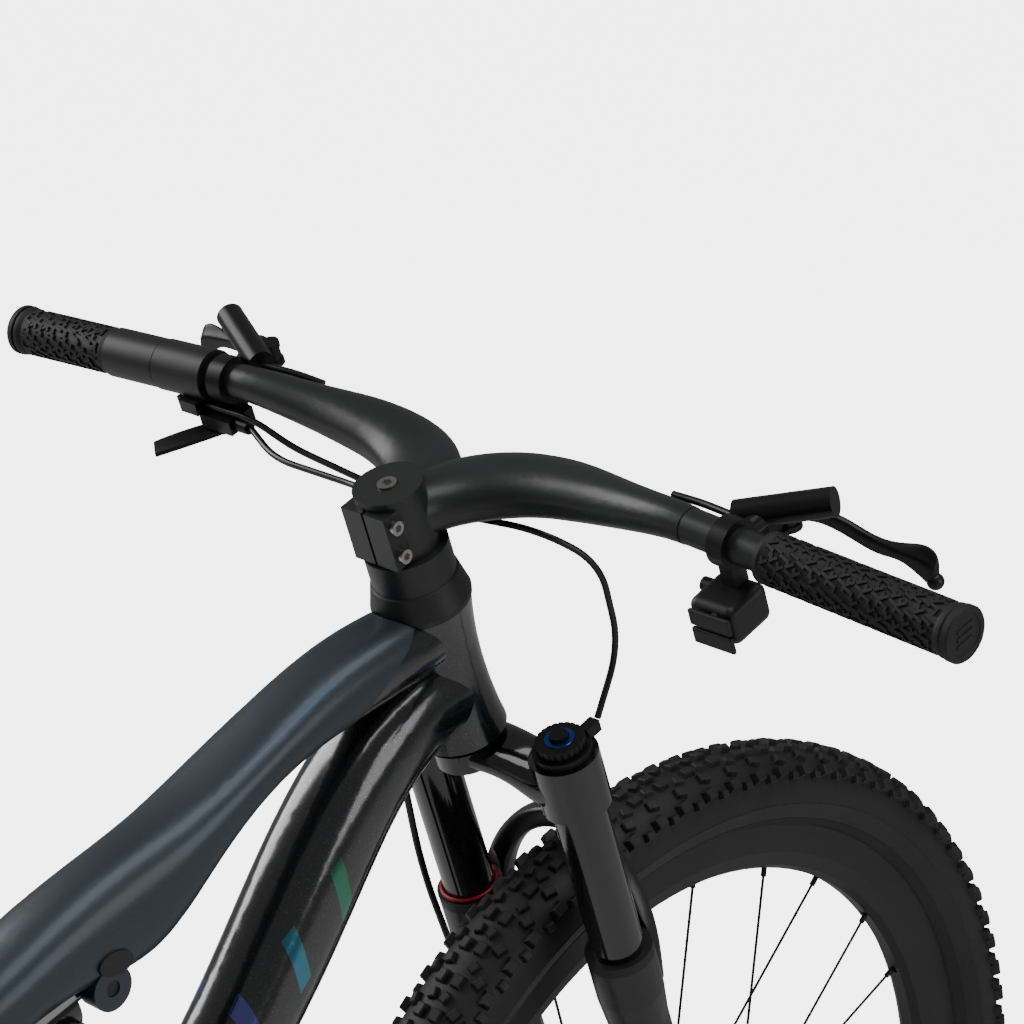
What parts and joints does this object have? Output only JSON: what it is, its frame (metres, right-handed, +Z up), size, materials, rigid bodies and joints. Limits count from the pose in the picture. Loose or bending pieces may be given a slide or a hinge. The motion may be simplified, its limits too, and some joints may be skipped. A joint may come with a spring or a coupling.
{
  "type": "mountain bike",
  "caption": "Full-suspension mountain bike with a telescopic fork, linkage-driven rear shock, one-piece bar and stem, disc brakes and a dropper post.",
  "frame": {"origin": "on the ground in the centre plane, halfway between the two axles", "axes": "+X forward, +Y to the rider's left, +Z up"},
  "size_m": [1.923, 0.7892, 1.0444],
  "materials": {
    "frame_paint": "satin metallic over a moulded carbon frame",
    "fork_satin": "satin black",
    "gloss_black_metal": "gloss black",
    "carbon_satin": "satin carbon fibre",
    "grip_rubber": "moulded pattern",
    "seal_rubber": "smooth",
    "ring_rubber": "red",
    "black_plastic": "fine grain",
    "anodised_black": "anodised",
    "steel": "brushed",
    "tyre_rubber": "knobbed",
    "cable_cover": "satin",
    "saddle_cover": "synthetic"
  },
  "bodies": {
    "frame": {"front_frame": "frame_paint", "frame_bearings": "steel", "shock_bolt_cover": "black_plastic", "seat_collar": "anodised_black", "dropper_outer_tube": "anodised_black"},
    "steering": {"fork_crown": "gloss_black_metal", "stanchions": "gloss_black_metal", "fork_top_caps": "gloss_black_metal", "handlebar": "carbon_satin", "headset_cover": "carbon_satin", "headset_spacers": "carbon_satin", "stem_top_cap": "carbon_satin", "cockpit_bolts": "steel", "grips": "grip_rubber", "lockout_housing": "black_plastic", "brake_bodies": "anodised_black", "dropper_remote": "anodised_black", "shift_pod": "black_plastic", "cockpit_cables": "cable_cover"},
    "lowers": {"fork_lowers": "fork_satin", "fork_wipers": "seal_rubber", "front_axle": "anodised_black", "front_caliper": "anodised_black", "front_brake_hose": "cable_cover"},
    "front_wheel": {"front_tyre": "tyre_rubber", "front_rim": "carbon_satin", "front_spokes": "steel", "front_hub": "anodised_black", "front_rotor": "steel"},
    "rear_wheel": {"rear_tyre": "tyre_rubber", "rear_rim": "carbon_satin", "rear_spokes": "steel", "rear_hub": "anodised_black", "rear_rotor": "steel"},
    "swingarm": {"chainstays": "frame_paint", "rear_axle": "anodised_black", "rear_caliper": "anodised_black", "derailleur": "anodised_black", "chain": "steel"},
    "seatstay_pair": {"seatstays": "frame_paint"},
    "rocker": {"rocker_link": "frame_paint"},
    "shock_body": {"shock_can": "gloss_black_metal"},
    "shock_rod": {"shock_shaft": "anodised_black"},
    "sprockets": {"cassette": "steel"},
    "cranks": {"crankset": "carbon_satin"},
    "left_pedal": {"pedal_left": "black_plastic"},
    "right_pedal": {"pedal_right": "black_plastic"},
    "cage": {"derailleur_cage": "black_plastic"},
    "post": {"dropper_inner_post": "anodised_black", "saddle_rails": "steel", "saddle_pad": "saddle_cover"},
    "twist_sleeve": {"lockout_twist_sleeve": "black_plastic"},
    "lock_button": {"lockout_button": "black_plastic"},
    "damper_cam": {"fork_lockout_cam": "gloss_black_metal"},
    "left_blade": {"brake_blade_left": "anodised_black"},
    "right_blade": {"brake_blade_right": "anodised_black"},
    "paddle": {"dropper_paddle": "anodised_black"},
    "upshift": {"shift_button_up": "black_plastic"},
    "downshift": {"shift_button_down": "black_plastic"},
    "ring": {"sag_ring": "ring_rubber"}
  },
  "joints": [
    {"name": "steering", "type": "hinge", "parent": "frame", "child": "steering", "pos_m": [0.32585, 0, 0.86801], "axis": [-0.3987, 0, 0.9171], "range_deg": [-45, 45]},
    {"name": "fork_travel", "type": "slide", "parent": "steering", "child": "lowers", "axis": [-0.3987, 0, 0.9171], "range_m": [0, 0.11], "stiffness_N_per_m": 7000, "springref_m": -0.03, "deforming": ["front_brake_hose"]},
    {"name": "front_wheel_spin", "type": "hinge", "parent": "lowers", "child": "front_wheel", "pos_m": [0.5895, 0, 0.372], "axis": [0, 1, 0], "continuous": true},
    {"name": "swingarm_pivot", "type": "hinge", "parent": "frame", "child": "swingarm", "pos_m": [-0.142, 0, 0.405], "axis": [0, 1, 0], "range_deg": [0, 15.5], "stiffness_Nm_per_rad": 900, "springref_deg": -6.88, "deforming": ["chain"]},
    {"name": "seatstay_pivot", "type": "hinge", "parent": "swingarm", "child": "seatstay_pair", "pos_m": [-0.535, 0, 0.398], "axis": [0, 1, 0], "range_deg": [-5.65, 0.2]},
    {"name": "rocker_pivot", "type": "hinge", "parent": "frame", "child": "rocker", "pos_m": [-0.16, 0, 0.588], "axis": [0, 1, 0], "range_deg": [-0.2, 32.3]},
    {"name": "shock_swing", "type": "hinge", "parent": "frame", "child": "shock_body", "pos_m": [0.038, 0, 0.747], "axis": [0, 1, 0], "range_deg": [-4.1, 0.1]},
    {"name": "shock_stroke", "type": "slide", "parent": "shock_body", "child": "shock_rod", "axis": [-0.9317, 0, -0.3633], "range_m": [-0.04, 0.0003]},
    {"name": "rear_wheel_spin", "type": "hinge", "parent": "swingarm", "child": "rear_wheel", "pos_m": [-0.5895, 0, 0.372], "axis": [0, 1, 0], "continuous": true},
    {"name": "crank_spin", "type": "hinge", "parent": "frame", "child": "cranks", "pos_m": [-0.1525, 0, 0.33], "axis": [0, 1, 0], "continuous": true},
    {"name": "cassette_spin", "type": "hinge", "parent": "swingarm", "child": "sprockets", "pos_m": [-0.5895, 0, 0.372], "axis": [0, 1, 0], "continuous": true},
    {"name": "left_pedal_spin", "type": "hinge", "parent": "cranks", "child": "left_pedal", "pos_m": [-0.3225, 0, 0.33], "axis": [0, 1, 0], "continuous": true},
    {"name": "right_pedal_spin", "type": "hinge", "parent": "cranks", "child": "right_pedal", "pos_m": [0.0175, 0, 0.33], "axis": [0, 1, 0], "continuous": true},
    {"name": "cage_pivot", "type": "hinge", "parent": "swingarm", "child": "cage", "pos_m": [-0.5715, 0, 0.238], "axis": [0, 1, 0], "range_deg": [-20, 25], "stiffness_Nm_per_rad": 1.5},
    {"name": "post_travel", "type": "slide", "parent": "frame", "child": "post", "axis": [-0.3315, 0, 0.9435], "range_m": [-0.14, 0]},
    {"name": "lockout_twist", "type": "hinge", "parent": "steering", "child": "twist_sleeve", "pos_m": [0.32111, 0.279, 1.00527], "axis": [-0.0472, 0.9982, -0.0381], "range_deg": [0, 25]},
    {"name": "lockout_release", "type": "slide", "parent": "steering", "child": "lock_button", "axis": [-0.3987, 0, 0.9171], "range_m": [0, 0.002], "stiffness_N_per_m": 500},
    {"name": "lockout_cam_turn", "type": "hinge", "parent": "steering", "child": "damper_cam", "pos_m": [0.36453, -0.0664, 0.82921], "axis": [-0.3987, 0, 0.9171], "range_deg": [0, 50]},
    {"name": "left_brake", "type": "hinge", "parent": "steering", "child": "left_blade", "pos_m": [0.36428, 0.206, 1.02543], "axis": [-0.3987, 0, 0.9171], "range_deg": [0, 18], "stiffness_Nm_per_rad": 0.6},
    {"name": "right_brake", "type": "hinge", "parent": "steering", "child": "right_blade", "pos_m": [0.36324, -0.228, 1.02459], "axis": [0.3987, 0, -0.9171], "range_deg": [0, 18], "stiffness_Nm_per_rad": 0.6},
    {"name": "dropper_trigger", "type": "hinge", "parent": "steering", "child": "paddle", "pos_m": [0.32947, 0.208, 0.97758], "axis": [0.3987, 0, -0.9171], "range_deg": [0, 20], "stiffness_Nm_per_rad": 0.4},
    {"name": "shift_up_press", "type": "slide", "parent": "steering", "child": "upshift", "axis": [0.9171, 0, 0.3987], "range_m": [0, 0.0022], "stiffness_N_per_m": 500},
    {"name": "shift_down_press", "type": "slide", "parent": "steering", "child": "downshift", "axis": [0.9171, 0, 0.3987], "range_m": [0, 0.0022], "stiffness_N_per_m": 500},
    {"name": "sag_ring_slide", "type": "slide", "parent": "steering", "child": "ring", "axis": [-0.3987, 0, 0.9171], "range_m": [0, 0.1101]}
  ],
  "couplings": [
    {"joint": "seatstay_pivot", "follows": "swingarm_pivot", "ratio": -0.3596},
    {"joint": "rocker_pivot", "follows": "swingarm_pivot", "ratio": 2.0678},
    {"joint": "shock_swing", "follows": "swingarm_pivot", "ratio": -0.2564},
    {"joint": "shock_stroke", "follows": "swingarm_pivot", "m_per_rad": -0.14652},
    {"joint": "cassette_spin", "follows": "crank_spin", "ratio": 1.4167},
    {"joint": "sag_ring_slide", "follows": "fork_travel", "ratio": 1},
    {"joint": "lockout_cam_turn", "follows": "lockout_twist", "ratio": 2}
  ]
}
